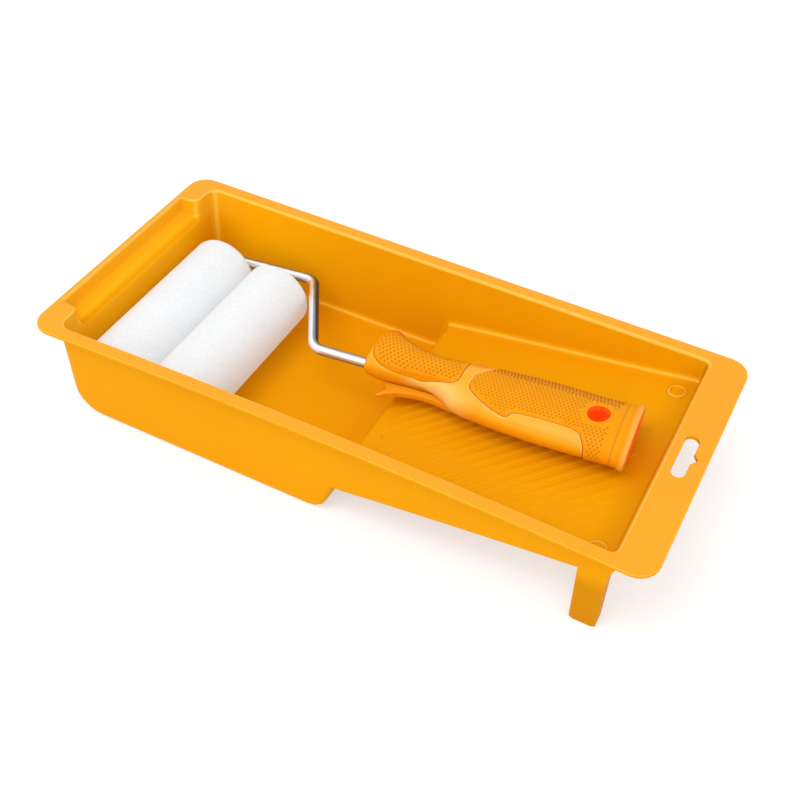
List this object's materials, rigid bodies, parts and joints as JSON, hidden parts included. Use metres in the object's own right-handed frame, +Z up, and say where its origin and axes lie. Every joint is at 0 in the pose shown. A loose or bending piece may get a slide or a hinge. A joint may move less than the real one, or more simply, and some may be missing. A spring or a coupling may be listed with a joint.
{
  "type": "paint roller tray",
  "caption": "Small moulded paint tray with a deep well and a sloping ribbed ramp, holding a wire roller frame with a soft-grip handle and short nap sleeves.",
  "frame": {"origin": "on the table, under the middle of the tray's rim", "axes": "+X along the tray to the ramp end, +Y to the back side, +Z up"},
  "size_m": [0.32, 0.147, 0.0609],
  "materials": {
    "tray_plastic": "satin-gloss moulded polypropylene",
    "rod_chrome": "bright plated steel wire",
    "handle_plastic": "slightly translucent, glossy",
    "grip_plastic": "soft grip moulding with fine raised dots",
    "nap_fibre": "short dense pile",
    "white_plastic": "plain moulded plastic"
  },
  "bodies": {
    "tray_body": {"tray": "tray_plastic"},
    "roller_frame": {"frame_rod": "rod_chrome", "handle_core": "handle_plastic", "front_grip": "grip_plastic", "rear_grip": "grip_plastic"},
    "mounted_sleeve": {"nap_cover_1": "nap_fibre", "core_tube_1": "white_plastic", "closed_end_cap_1": "white_plastic", "bearing_bush_1": "white_plastic"},
    "spare_sleeve": {"nap_cover_2": "nap_fibre", "core_tube_2": "white_plastic", "closed_end_cap_2": "white_plastic", "bearing_bush_2": "white_plastic"}
  },
  "joints": [
    {"name": "frame_lift", "type": "slide", "parent": "tray_body", "child": "roller_frame", "axis": [0, 0, 1], "range_m": [0, 0.07]},
    {"name": "spare_lift", "type": "slide", "parent": "tray_body", "child": "spare_sleeve", "axis": [0, 0, 1], "range_m": [0, 0.07]},
    {"name": "sleeve_spin", "type": "hinge", "parent": "roller_frame", "child": "mounted_sleeve", "pos_m": [-0.127, 0, 0.0213], "axis": [0, 1, 0], "continuous": true}
  ]
}
